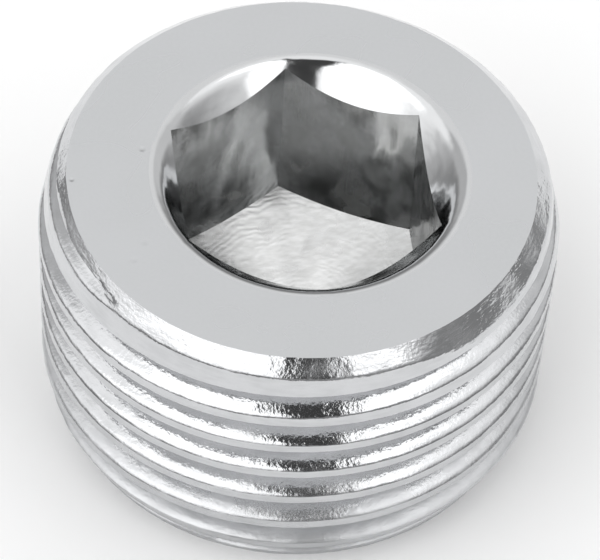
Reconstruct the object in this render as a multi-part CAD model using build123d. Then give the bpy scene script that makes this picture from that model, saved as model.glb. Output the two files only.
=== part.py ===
from build123d import *
import math
import os

# Hex socket pipe plug with a 3/8 inch taper thread, turned from one bar and plated.
# Millimetres. +Z is the plug's axis and points out of the socket.
# The origin is the centre of the small end, the flat face that the plug stands on.

# ---- Driving dimensions ----

length = 10.0  # small end to socket face

# 3/8 inch taper pipe thread, 55 degree Whitworth form
pitch = 1.337  # 19 threads to the inch
gauge_diameter = 16.662  # over the crests, in the gauge plane
gauge_height = 6.4  # gauge plane above the small end
taper = 1 / 16  # on diameter
flank_angle = 55.0  # between the two flanks of a groove
groove_start = -1.67  # height of the first groove's centre line on the +X side

# Socket
key_size = 8.0  # across the flats of the hexagon key
key_clearance = 0.05  # on the width, between key and socket
socket_depth = 6.0  # face to the floor's edge at the socket's corners
mouth_diameter = 9.8  # countersink that leads the key in
mouth_angle = 90.0  # included
floor_angle = 140.0  # included, left by the drill ahead of the broach

# Blank, before threading
face_diameter = 15.0
face_chamfer_width = 0.5  # radial and axial, at 45 degrees
collar_height = 1.4  # over which the blank rises to full crest height
lead_height = 1.5  # end chamfer that starts the thread
lead_drop = 0.65  # radial depth of that chamfer at the small end

# ---- Derived values ----

sharp_height = pitch / 2 / math.tan(math.radians(flank_angle / 2))
thread_depth = sharp_height * 2 / 3  # a sixth is cut from crest and root alike
flat_width = pitch / 6  # of crest and root
taper_angle = math.degrees(math.atan(taper / 2))
cutter_margin = 0.15  # how far the groove's cutter stands outside the crests
socket_across_flats = key_size + key_clearance


def crest_radius(height):
    """Radius over full crests at a height above the small end."""
    return gauge_diameter / 2 + (height - gauge_height) * taper / 2


def make_blank():
    """Turned blank: end chamfer, tapered body, low collar, face chamfer."""
    collar_top = length - face_chamfer_width
    collar_base = collar_top - collar_height
    outline = [
        (0, 0),
        (crest_radius(0) - lead_drop, 0),
        (crest_radius(lead_height), lead_height),
        (crest_radius(collar_base), collar_base),
        (face_diameter / 2 + face_chamfer_width, collar_top),
        (face_diameter / 2, length),
        (0, length),
    ]
    section = Plane.XZ * make_face(Polyline(*outline, close=True))
    return revolve(section, Axis.Z)


def groove_edge(start, radial_offset, rise):
    """One turn of the right-hand tapered helix along a corner of the groove's section."""
    slant = math.cos(math.radians(taper_angle))
    helix = Edge.make_helix(
        pitch / slant, pitch, crest_radius(start) + radial_offset, angle=taper_angle
    )
    return helix.translate((0, 0, start + rise))


def make_groove_turn(start):
    """Cutter for one turn of the thread's V groove, with its centre line starting at a height."""
    root_half = flat_width / 2
    mouth_half = root_half + (thread_depth + cutter_margin) * math.tan(math.radians(flank_angle / 2))
    corners = [
        groove_edge(start, -thread_depth, -root_half),
        groove_edge(start, cutter_margin, -mouth_half),
        groove_edge(start, cutter_margin, mouth_half),
        groove_edge(start, -thread_depth, root_half),
    ]
    sides = [Face.make_surface_from_curves(a, b) for a, b in zip(corners, corners[1:] + corners[:1])]
    first_end = Face(Wire.make_polygon([edge @ 0 for edge in corners]))
    last_end = Face(Wire.make_polygon([edge @ 1 for edge in corners]))
    return Solid(Shell(sides + [first_end, last_end]))


def cut_thread(blank):
    """Thread from end to end: the groove is cut turn by turn, each starting where the last ends."""
    threaded = blank
    turns = math.ceil((length + pitch / 2 - groove_start) / pitch)
    for turn in range(turns):
        threaded -= make_groove_turn(groove_start + turn * pitch)
    return threaded


def make_socket():
    """Cutter for the socket: broached hexagon, drilled floor and countersunk mouth."""
    corner_radius = socket_across_flats / 2 / math.cos(math.radians(30))
    drill_rise = corner_radius / math.tan(math.radians(floor_angle / 2))
    floor_tip = length - socket_depth - drill_rise
    hexagon = RegularPolygon(corner_radius, 6, rotation=30)
    broach = Pos(0, 0, floor_tip) * extrude(hexagon, length - floor_tip)
    drilled_floor = Plane.XZ * make_face(
        Polyline(
            (0, floor_tip),
            (corner_radius, floor_tip + drill_rise),
            (corner_radius, length),
            (0, length),
            close=True,
        )
    )
    mouth_radius = mouth_diameter / 2
    mouth_tip = length - mouth_radius / math.tan(math.radians(mouth_angle / 2))
    countersink = Plane.XZ * make_face(
        Polyline((0, mouth_tip), (mouth_radius, length), (0, length), close=True)
    )
    return (broach & revolve(drilled_floor, Axis.Z)) + revolve(countersink, Axis.Z)


os.makedirs("parts", exist_ok=True)

plug_body = cut_thread(make_blank()) - make_socket()

export_step(plug_body, "parts/plug_body.step")
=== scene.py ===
import math
from functools import partial

import bmesh
import bpy
from mathutils import Matrix, Vector, noise


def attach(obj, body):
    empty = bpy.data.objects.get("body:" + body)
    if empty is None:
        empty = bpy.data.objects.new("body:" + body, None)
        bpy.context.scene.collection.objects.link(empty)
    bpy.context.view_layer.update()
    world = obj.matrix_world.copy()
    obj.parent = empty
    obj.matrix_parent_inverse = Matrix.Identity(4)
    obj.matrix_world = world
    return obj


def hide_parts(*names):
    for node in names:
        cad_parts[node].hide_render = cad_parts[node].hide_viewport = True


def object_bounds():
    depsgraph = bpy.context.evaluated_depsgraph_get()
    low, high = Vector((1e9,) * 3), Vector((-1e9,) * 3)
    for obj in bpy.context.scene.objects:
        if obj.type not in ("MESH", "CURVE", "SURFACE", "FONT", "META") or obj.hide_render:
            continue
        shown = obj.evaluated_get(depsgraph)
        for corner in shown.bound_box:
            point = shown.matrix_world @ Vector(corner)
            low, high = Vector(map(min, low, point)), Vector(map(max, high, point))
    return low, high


# The looks of a hex socket pipe plug: one turned, threaded, broached and plated piece.
# Its mesh is modelled in millimetres on the part's own axis and scaled to metres when finished.

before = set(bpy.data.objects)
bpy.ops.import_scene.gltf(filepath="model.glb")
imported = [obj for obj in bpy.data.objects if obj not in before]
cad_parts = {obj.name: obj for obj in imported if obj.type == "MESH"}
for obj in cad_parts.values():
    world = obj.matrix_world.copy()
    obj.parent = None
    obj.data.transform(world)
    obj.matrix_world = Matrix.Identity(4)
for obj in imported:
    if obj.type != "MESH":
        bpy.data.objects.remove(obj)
cad_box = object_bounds()

MM = 0.001
UP = Vector((0, 0, 1))

# ---- Sizes in millimetres ----
# The part's own, but for the groove's height and shape, the collar and 0.01 on the socket's width.
# The roundings, the run-outs, the heavier chamfer on one side and the wear are added here.

length = (cad_box[1].z - cad_box[0].z) / MM
pitch = 1.337
gauge_diameter = 16.662
gauge_height = 6.4
taper = 1 / 16
flank_slope = math.tan(math.radians(27.5))  # half of the 55 degree groove
thread_depth = 0.80
root_flat = 0.10
root_rounding = 0.10
crest_rounding = 0.14
groove_start = -1.84  # height of the first groove's centre line on the +X side
run_out_start = 9.61  # height of the groove's centre where the cutter begins to draw out
run_out_end = 9.71

face_diameter = 15.0
face_chamfer_width = 0.5
collar_height = 1.7
lead_height = 1.5
lead_drop = 0.65
turned_corner_rounding = 0.05
heavy_chamfer_direction = -50  # degrees from +X, where the face chamfer is cut heavier
heavy_chamfer_fade = (9, 24)  # degrees away from there between which that fades
heavy_chamfer_share = 0.3  # how much less the chamfer widens on its way down there
long_wear, long_wear_per_mm = 0.010, 0.9  # height and closeness of the wear's slow waves
short_wear, short_wear_per_mm = 0.012, 3.1

socket_width = 8.06  # across flats
socket_depth = 6.0  # face to the floor's edge at the socket's corners
mouth_diameter = 9.8
mouth_rounding = 0.24
floor_slope = math.tan(math.radians(20))
hexagon_corner = socket_width / 2 / math.cos(math.radians(30))
mouth_run_out = Vector((0.273, 0.097, 0))  # how far the countersink stands off the thread's axis
broach_run_out = Vector((0.136, 0.134, 0))

# ---- Mesh fineness ----

steps_per_turn = 360
rows_per_pitch = 26
points_per_flat = 26  # along each of the socket's flats
slope_rings = 16  # steps down the countersink
wall_shares = (0.02, 0.35, 0.7, 1.0)  # of the way down the socket's wall
floor_shares = (0.985, 0.9, 0.75, 0.55, 0.35, 0.15, 0.03)  # of the way out over its floor
flat_margin = 0.06  # flat ring outside the mouth's rounding, which keeps the face's shading even
tolerance = 0.001
turn_merge = 0.003  # points this close are one, where the turns of the thread meet
end_snap = 0.012  # points this close to an end's plane are moved onto it
last_merge = 0.0005  # over the whole plug, once it is closed
sharp_edge = math.radians(25)

# The finishes' places in the plug's list of materials: thread, face, wall, floor and mouth
THREAD, FACE, WALL, FLOOR, MOUTH = range(5)


def smooth_step(low, high, value):
    """Zero below low, one above high, with an even rise between."""
    share = min(max((value - low) / (high - low), 0), 1)
    return share * share * (3 - 2 * share)


def rounded_min(a, b, rounding):
    """The smaller of two radii, with the corner where they meet rounded."""
    overlap = max(rounding - abs(a - b), 0) / rounding
    return min(a, b) - overlap * overlap * rounding / 4


# ---- The turned and threaded outside ----


def crest_radius(height):
    """Radius over full crests at a height above the small end."""
    return gauge_diameter / 2 + (height - gauge_height) * taper / 2


def degrees_apart(angle, centre):
    """Degrees round the axis from one direction to another, either way."""
    return abs((math.degrees(angle) - centre + 180) % 360 - 180)


def blank_radius(angle, height):
    """Radius of the turned blank: lead, taper, collar and face chamfer."""
    lead = crest_radius(0) - lead_drop + height * (lead_drop / lead_height + taper / 2)
    chamfer_foot = length - face_chamfer_width
    foot_radius = face_diameter / 2 + face_chamfer_width
    collar_foot = chamfer_foot - collar_height
    collar_growth = (crest_radius(collar_foot) - foot_radius) / collar_height
    collar = foot_radius + (chamfer_foot - height) * collar_growth
    heavy_side = 1 - smooth_step(*heavy_chamfer_fade, degrees_apart(angle, heavy_chamfer_direction))
    chamfer = face_diameter / 2 + (length - height) * (1 - heavy_chamfer_share * heavy_side)
    radius = rounded_min(lead, crest_radius(height), turned_corner_rounding)
    radius = rounded_min(radius, collar, turned_corner_rounding)
    return rounded_min(radius, chamfer, turned_corner_rounding)


def groove_radius(angle, height):
    """Radius of the groove's wall, drawn out of the metal where the thread ends at the face."""
    turn = angle / math.tau
    position = (height - groove_start) / pitch - turn
    nearest = round(position)
    off_centre = abs(position - nearest) * pitch
    centre_height = groove_start + (nearest + turn) * pitch
    root = crest_radius(height) - thread_depth
    wall = root + (off_centre - root_flat / 2) / flank_slope
    wall = -rounded_min(-root, -wall, root_rounding)
    return wall + thread_depth * smooth_step(run_out_start, run_out_end, centre_height)


def tool_wear(angle, height):
    """How far wear and plating move the surface out or in at a place."""
    place = Vector((math.cos(angle), math.sin(angle), 0)) * gauge_diameter / 2
    place.z = height
    long_waves = noise.noise(place * long_wear_per_mm)
    short_waves = noise.noise(place * short_wear_per_mm + Vector((7, 0, 0)))
    return long_wear * long_waves + short_wear * short_waves


def make_thread(bm):
    """The threaded outside: a column spun one helical turn, copied up the axis, trimmed and cut to shape."""
    column = [bm.verts.new((gauge_diameter / 2, 0, z)) for z in (-pitch / 2, pitch / 2)]
    edge = bm.edges.new(column)
    bmesh.ops.subdivide_edges(bm, edges=[edge], cuts=rows_per_pitch - 1)
    bmesh.ops.spin(
        bm, geom=bm.verts[:] + bm.edges[:], cent=(0, 0, 0), axis=UP,
        dvec=(0, 0, pitch / steps_per_turn), angle=math.tau, steps=steps_per_turn,
    )
    first_centre = groove_start - pitch / 2
    bmesh.ops.translate(bm, verts=bm.verts, vec=(0, 0, first_centre))
    turn = bm.verts[:] + bm.edges[:] + bm.faces[:]
    turns = math.ceil((length + pitch - first_centre) / pitch)
    for lift in range(1, turns):
        copy = bmesh.ops.duplicate(bm, geom=turn)["geom"]
        moved = [g for g in copy if isinstance(g, bmesh.types.BMVert)]
        bmesh.ops.translate(bm, verts=moved, vec=(0, 0, lift * pitch))
    bmesh.ops.remove_doubles(bm, verts=bm.verts, dist=turn_merge)
    for height, side in ((0, -UP), (length, UP)):
        bmesh.ops.bisect_plane(
            bm, geom=bm.verts[:] + bm.edges[:] + bm.faces[:], dist=end_snap, use_snap_center=True,
            plane_co=(0, 0, height), plane_no=side, clear_outer=True,
        )
    for v in bm.verts:
        angle = math.atan2(v.co.y, v.co.x)
        radius = rounded_min(blank_radius(angle, v.co.z), groove_radius(angle, v.co.z), crest_rounding)
        radius += tool_wear(angle, v.co.z)
        v.co.x, v.co.y = radius * math.cos(angle), radius * math.sin(angle)


def rim_edges(bm, height):
    """The open edges at a height."""
    return [e for e in bm.edges if e.is_boundary and all(abs(v.co.z - height) < tolerance for v in e.verts)]


# ---- The socket ----


def circle_point(angle, radius):
    """A point on a circle round the countersink's centre, at the face."""
    return mouth_run_out + Vector((radius * math.cos(angle), radius * math.sin(angle), length))


def hexagon_point(angle, share=1.0):
    """A point on the socket's hexagon, whose corners are on the Y axis, or on a smaller one inside."""
    from_flat = (angle + math.radians(30)) % math.radians(60) - math.radians(30)
    radius = share * socket_width / 2 / math.cos(from_flat)
    return broach_run_out + Vector((radius * math.cos(angle), radius * math.sin(angle), 0))


def on_countersink(point):
    """Puts a point on the 45 degree countersink and its rounded rim."""
    radius = (Vector((point.x, point.y, 0)) - mouth_run_out).length
    point.z = rounded_min(length, length - mouth_diameter / 2 + radius, mouth_rounding)
    return point


def on_floor(point):
    """Puts a point on the drilled floor's shallow cone."""
    radius = (Vector((point.x, point.y, 0)) - broach_run_out).length
    point.z = length - socket_depth - (hexagon_corner - radius) * floor_slope
    return point


def socket_rings():
    """For each ring of the socket from the face inwards, where its point at an angle lies."""
    rim_radius = mouth_diameter / 2 + mouth_rounding

    def on_face(angle):
        return circle_point(angle, rim_radius + flat_margin)

    def down_slope(angle, share):
        return on_countersink(circle_point(angle, rim_radius).lerp(hexagon_point(angle), share))

    def down_wall(angle, share):
        return on_countersink(hexagon_point(angle)).lerp(on_floor(hexagon_point(angle)), share)

    def over_floor(angle, share):
        return on_floor(hexagon_point(angle, share))

    slope_shares = [step / slope_rings for step in range(slope_rings + 1)]
    return [
        on_face,
        *(partial(down_slope, share=share) for share in slope_shares),
        *(partial(down_wall, share=share) for share in wall_shares),
        *(partial(over_floor, share=share) for share in floor_shares),
    ]


def make_socket(bm, outer):
    """Countersunk mouth, broached hexagon and drilled floor, joined to the thread's rim by the face."""
    to_corner = Matrix.Rotation(math.radians(30), 4, "Z")
    circle = bmesh.ops.create_circle(bm, segments=6 * points_per_flat, radius=1, matrix=to_corner)
    verts = circle["verts"]
    members = set(verts)
    mouth = [e for v in verts for e in v.link_edges if members.issuperset(e.verts)]
    mouth = list(dict.fromkeys(mouth))
    loop = mouth
    rings = socket_rings()
    stack = [verts]
    for _ in rings[1:]:
        out = bmesh.ops.extrude_edge_only(bm, edges=loop)["geom"]
        verts = [g for g in out if isinstance(g, bmesh.types.BMVert)]
        members = set(verts)
        loop = [g for g in out if isinstance(g, bmesh.types.BMEdge) and members.issuperset(g.verts)]
        stack.append(verts)
    bmesh.ops.edgeloop_fill(bm, edges=loop)
    # The face is bridged before its inner ring is placed: two loops at one height may pair wrongly
    bmesh.ops.bridge_loops(bm, edges=outer + mouth)
    for verts, place in zip(stack, rings):
        for v in verts:
            v.co = place(math.atan2(v.co.y, v.co.x))


def give_finishes(bm):
    """Sets each face's finish by where it lies and which way it points."""
    mouth_edge = mouth_diameter / 2 + mouth_rounding
    floor_top = length - socket_depth + 0.1
    base_top = 0.5
    for face in bm.faces:
        centre = face.calc_center_median()
        in_hexagon = (centre - broach_run_out).xy.length < hexagon_corner - tolerance and centre.z > base_top
        in_mouth = (centre - mouth_run_out).xy.length < mouth_edge and centre.z > length / 2
        flatness = abs(face.normal.z)  # 1 where a face lies flat, 0 where it is upright
        if flatness > 0.999 and centre.z > length / 2:
            face.material_index = FACE
        elif in_hexagon and flatness < 0.05:
            face.material_index = WALL
        elif in_hexagon and centre.z < floor_top:
            face.material_index = FLOOR
        elif in_mouth:
            face.material_index = MOUTH
        else:
            face.material_index = THREAD


def make_plug():
    """The whole plug as one closed mesh, with its finishes' places set."""
    bm = bmesh.new()
    make_thread(bm)
    bmesh.ops.edgeloop_fill(bm, edges=rim_edges(bm, 0))
    make_socket(bm, rim_edges(bm, length))
    bmesh.ops.remove_doubles(bm, verts=bm.verts, dist=last_merge)
    bmesh.ops.recalc_face_normals(bm, faces=bm.faces)
    give_finishes(bm)
    for face in bm.faces:
        face.smooth = True
    bmesh.ops.scale(bm, vec=(MM, MM, MM), verts=bm.verts)
    mesh = bpy.data.meshes.new("threaded_plug")
    bm.to_mesh(mesh)
    bm.free()
    mesh.set_sharp_from_angle(angle=sharp_edge)
    plug = bpy.data.objects.new("threaded_plug", mesh)
    bpy.context.scene.collection.objects.link(plug)
    return plug


# ---- Finishes ----


class Nodes:
    """Short names for the nodes of one tree."""

    def __init__(self, tree):
        self.tree = tree

    def new(self, kind, inputs=(), **settings):
        made = self.tree.nodes.new(kind)
        for name, value in settings.items():
            setattr(made, name, value)
        for key, value in dict(inputs).items():
            self.put(value, made.inputs[key])
        return made

    def put(self, value, socket):
        if isinstance(value, bpy.types.NodeSocket):
            self.tree.links.new(value, socket)
        else:
            socket.default_value = value

    def math(self, operation, *values):
        return self.new("ShaderNodeMath", enumerate(values), operation=operation).outputs[0]

    def add(self, *values):
        total = values[0]
        for value in values[1:]:
            total = self.math("ADD", total, value)
        return total

    def times(self, a, b):
        return self.math("MULTIPLY", a, b)

    def ramp(self, value, low, high, to_low=0.0, to_high=1.0):
        """Smooth change from to_low at low to to_high at high."""
        inputs = {"Value": value, "From Min": low, "From Max": high, "To Min": to_low, "To Max": to_high}
        return self.new("ShaderNodeMapRange", inputs, interpolation_type="SMOOTHSTEP").outputs[0]

    def band(self, value, low, high, soft):
        """One between low and high, zero outside, with soft edges."""
        rise = self.ramp(value, low - soft / 2, low + soft / 2)
        fall = self.ramp(value, high - soft / 2, high + soft / 2, 1.0, 0.0)
        return self.times(rise, fall)

    def blend(self, amount, low, high):
        """low where amount is 0, high where it is 1."""
        inputs = {"Factor": amount, "A": low, "B": high}
        return self.new("ShaderNodeMix", inputs, data_type="FLOAT", clamp_factor=True).outputs["Result"]

    def place(self, centre=(0, 0, 0), per_mm=(1, 1, 1)):
        """Object coordinates from a centre in millimetres, scaled to so many pattern units a millimetre."""
        position = self.new("ShaderNodeTexCoord").outputs["Object"]
        shift = [-c * s for c, s in zip(centre, per_mm)]
        scale = [s / MM for s in per_mm]
        return self.new("ShaderNodeMapping", {0: position, "Location": shift, "Scale": scale}).outputs[0]

    def cloud(self, per_mm, detail=2.0, roughness=0.5):
        """Noise between 0 and 1 with so many features a millimetre along X, Y and Z."""
        if not isinstance(per_mm, tuple):
            per_mm = (per_mm, per_mm, per_mm)
        inputs = {"Vector": self.place(per_mm=per_mm), "Scale": 1.0, "Detail": detail, "Roughness": roughness}
        return self.new("ShaderNodeTexNoise", inputs).outputs[0]

    def xyz(self, vector):
        return self.new("ShaderNodeSeparateXYZ", {0: vector}).outputs

    def spot(self, centre, radius):
        """One at a place in millimetres, fading to zero at a radius."""
        away = self.new("ShaderNodeVectorMath", {0: self.place(centre)}, operation="LENGTH").outputs["Value"]
        return self.ramp(away, 0.0, radius, 1.0, 0.0)


def steel_finish(name):
    """A new plated steel material, with its nodes and its shader."""
    material = bpy.data.materials.new(name)
    material.use_nodes = True
    shader = material.node_tree.nodes["Principled BSDF"]
    shader.inputs["Metallic"].default_value = 1
    return material, Nodes(material.node_tree), shader


def set_tone(n, shader, amount, dark, light):
    """Colours the surface from dark, where amount is 0, to light, where it is 1."""
    mix = n.new("ShaderNodeMix", {0: amount, 6: (*dark, 1), 7: (*light, 1)}, data_type="RGBA")
    n.put(mix.outputs[2], shader.inputs["Base Color"])


def set_relief(n, shader, height_mm):
    """Bumps the surface by a height in millimetres."""
    inputs = {"Height": height_mm, "Distance": MM, "Strength": 1.0}
    n.put(n.new("ShaderNodeBump", inputs).outputs[0], shader.inputs["Normal"])


def threaded_steel():
    """Cut thread and chamfers: fine turning marks, plating grain, rougher towards the small end, and painted
    shade darkening the lower turns.
    """
    material, n, shader = steel_finish("threaded_steel")
    height = n.xyz(n.place())[2]
    # low is one at the small end and fades out 6 mm up: it makes that end rougher, and it carries the painted
    # shade in the tone below
    low = n.ramp(height, 0.5, 6.0, 1.0, 0.0)
    grain = n.cloud(9.0, detail=2.0)
    turning = n.cloud((1.6, 1.6, 9.0), detail=2.0)
    patches = n.cloud(0.7, detail=3.0)
    relief = n.add(n.times(grain, 0.007), n.times(turning, 0.008))
    set_relief(n, shader, relief)
    rough = n.add(0.10, n.times(low, 0.24), n.times(n.ramp(patches, 0.45, 0.7), 0.12))
    n.put(rough, shader.inputs["Roughness"])
    # The low term darkens the small end: painted shade on the lower turns
    tone = n.ramp(n.add(n.times(patches, 0.6), n.times(turning, 0.4), n.times(low, -0.12)), 0.25, 0.65)
    set_tone(n, shader, tone, (0.55, 0.557, 0.568), (0.64, 0.647, 0.66))
    return material


def turned_face():
    """The end face: an even satin with two nicks and two fainter spots."""
    material, n, shader = steel_finish("turned_face")
    grain = n.cloud(8.0, detail=2.0)
    clouds = n.cloud(0.25, detail=2.0)
    nicks = n.add(
        n.spot((-4.92, 1.65, length), 0.16),
        n.spot((-7.3, 0.6, length), 0.12),
        n.times(n.spot((-5.32, -2.22, length), 0.2), 0.5),
        n.times(n.spot((-5.75, -2.92, length), 0.18), 0.5),
    )
    set_relief(n, shader, n.add(n.times(grain, 0.0012), n.times(nicks, -0.02)))
    n.put(n.add(0.24, n.times(clouds, 0.08)), shader.inputs["Roughness"])
    tone = n.math("SUBTRACT", n.ramp(n.add(n.times(clouds, 0.7), n.times(grain, 0.3)), 0.3, 0.7), nicks)
    set_tone(n, shader, tone, (0.585, 0.595, 0.605), (0.61, 0.62, 0.632))
    return material


def broached_wall():
    """The socket's walls: upright broach marks, waves and stains."""
    material, n, shader = steel_finish("broached_wall")
    streaks = n.cloud((7.0, 7.0, 0.7), detail=3.0)
    waves = n.cloud((0.8, 0.8, 0.5), detail=1.0)
    stains = n.cloud((0.9, 0.9, 0.6), detail=4.0, roughness=0.6)
    set_relief(n, shader, n.add(n.times(streaks, 0.003), n.times(waves, 0.08)))
    n.put(n.add(0.10, n.times(n.ramp(stains, 0.4, 0.7), 0.15)), shader.inputs["Roughness"])
    set_tone(n, shader, n.ramp(stains, 0.3, 0.65), (0.50, 0.505, 0.50), (0.62, 0.626, 0.63))
    return material


def countersink():
    """The socket's mouth: bright, with faint chatter marks."""
    material, n, shader = steel_finish("countersink")
    chatter = n.cloud((1.2, 1.2, 2.5), detail=1.0)
    set_relief(n, shader, n.add(n.times(chatter, 0.012), n.times(n.cloud(6.0), 0.0012)))
    n.put(n.add(0.06, n.times(chatter, 0.08)), shader.inputs["Roughness"])
    set_tone(n, shader, chatter, (0.60, 0.607, 0.615), (0.64, 0.647, 0.655))
    return material


def drilled_floor():
    """The socket's floor: wandering rings from the drill, and scratches."""
    material, n, shader = steel_finish("drilled_floor")
    x, y, _ = n.xyz(n.place(tuple(broach_run_out)))
    radius = n.math("SQRT", n.add(n.times(x, x), n.times(y, y)))
    wander = n.cloud(0.9, detail=2.0)
    rings = n.math("SINE", n.add(n.times(radius, 30.0), n.times(wander, 25.0)))
    scratches = n.cloud((2.5, 7.0, 2.5), detail=3.0)
    set_relief(n, shader, n.add(n.times(rings, 0.0006), n.times(scratches, 0.0013)))
    n.put(n.add(0.16, n.times(n.ramp(wander, 0.4, 0.7), 0.15)), shader.inputs["Roughness"])
    set_tone(n, shader, n.ramp(scratches, 0.3, 0.7), (0.58, 0.583, 0.58), (0.66, 0.665, 0.665))
    return material


plug = make_plug()
for finish in (threaded_steel, turned_face, broached_wall, drilled_floor, countersink):
    plug.data.materials.append(finish())
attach(plug, "root")
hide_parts("plug_body")

# ---- Floor, camera and light ----

floor_radius = 1.5  # metres
camera_azimuth = -10.97
camera_elevation = 49.81
camera_roll = 3.71
camera_distance = 188.4  # millimetres
camera_target = Vector((0.139, -0.027, 4.86))
focal_pixels = 5806.0
frame_width_pixels = 600


def lay_floor():
    """A wide disc of white paper under the plug."""
    bm = bmesh.new()
    bmesh.ops.create_circle(bm, cap_ends=True, segments=96, radius=floor_radius)
    mesh = bpy.data.meshes.new("floor")
    bm.to_mesh(mesh)
    bm.free()
    floor = bpy.data.objects.new("floor", mesh)
    bpy.context.scene.collection.objects.link(floor)
    paper = bpy.data.materials.new("white_paper")
    paper.use_nodes = True
    shader = paper.node_tree.nodes["Principled BSDF"]
    shader.inputs["Base Color"].default_value = (1, 1, 1, 1)
    shader.inputs["Roughness"].default_value = 1
    shader.inputs["Specular IOR Level"].default_value = 0
    floor.data.materials.append(paper)


def set_camera():
    """Looks down at the plug from in front and a little to the left."""
    camera = bpy.data.objects.new("camera", bpy.data.cameras.new("camera"))
    bpy.context.scene.collection.objects.link(camera)
    a, e = math.radians(camera_azimuth), math.radians(camera_elevation)
    back = Vector((math.sin(a) * math.cos(e), -math.cos(a) * math.cos(e), math.sin(e)))
    camera.location = (camera_target + back * camera_distance) * MM
    camera.rotation_mode = "QUATERNION"
    roll = Matrix.Rotation(math.radians(camera_roll), 3, "Z")
    camera.rotation_quaternion = ((-back).to_track_quat("-Z", "Y").to_matrix() @ roll).to_quaternion()
    camera.data.sensor_width = 36
    camera.data.lens = focal_pixels / frame_width_pixels * camera.data.sensor_width
    camera.data.clip_start = 0.01
    bpy.context.scene.camera = camera


def light_tent():
    """A white tent round the table: bright windows left and right, with a dark gap between them."""
    world = bpy.data.worlds.new("light_tent")
    bpy.context.scene.world = world
    world.use_nodes = True
    n = Nodes(world.node_tree)
    direction = n.new("ShaderNodeTexCoord").outputs["Generated"]
    turned = n.new(
        "ShaderNodeVectorRotate", {"Vector": direction, "Angle": math.radians(-camera_azimuth)},
        rotation_type="Z_AXIS",
    ).outputs[0]
    x, y, z = n.xyz(turned)
    azimuth = n.math("DEGREES", n.math("ARCTAN2", x, n.times(y, -1.0)))
    elevation = n.math("DEGREES", n.math("ARCSINE", z))

    wall = n.ramp(elevation, 14, 40, 0.30, 1.0)
    overhead = n.ramp(elevation, 62, 84, 0.0, 0.25)
    light = n.add(wall, overhead)
    # Strength, then left, right, bottom and top edges and their softness in degrees; later over earlier
    windows = (
        (0.62, -150, -98, 10, 45, 14),
        (0.78, 105, 150, 10, 45, 14),
        (1.28, -112, -4, 20, 80, 14),
        (1.9, -84, -4, 31, 79, 8),
        (1.30, 10, 112, 44, 80, 14),
        (1.9, 14, 54, 32, 79, 8),
        (1.9, 14, 92, 56, 79, 8),
    )
    for strength, left, right, bottom, top, soft in windows:
        inside = n.times(n.band(azimuth, left, right, soft), n.band(elevation, bottom, top, soft))
        light = n.blend(inside, light, strength)

    gap_centre = n.ramp(z, 0.66, 0.97, 0.15, 0.03)
    across = n.math("SUBTRACT", x, gap_centre)
    gap = n.times(n.band(across, -0.16, 0.16, 0.06), n.band(elevation, 22, 82, 6))
    in_front = n.ramp(y, -0.05, 0.05, 1.0, 0.0)
    light = n.blend(n.times(gap, in_front), light, 0.06)

    # The camera sees plain white past the floor; everything else is lit by the tent
    seen = n.new("ShaderNodeLightPath").outputs["Is Camera Ray"]
    background = world.node_tree.nodes["Background"]
    background.inputs["Color"].default_value = (1, 1, 1, 1)
    n.put(n.blend(seen, light, 1.0), background.inputs["Strength"])


lay_floor()
set_camera()
light_tent()
bpy.context.scene.view_settings.view_transform = "Standard"
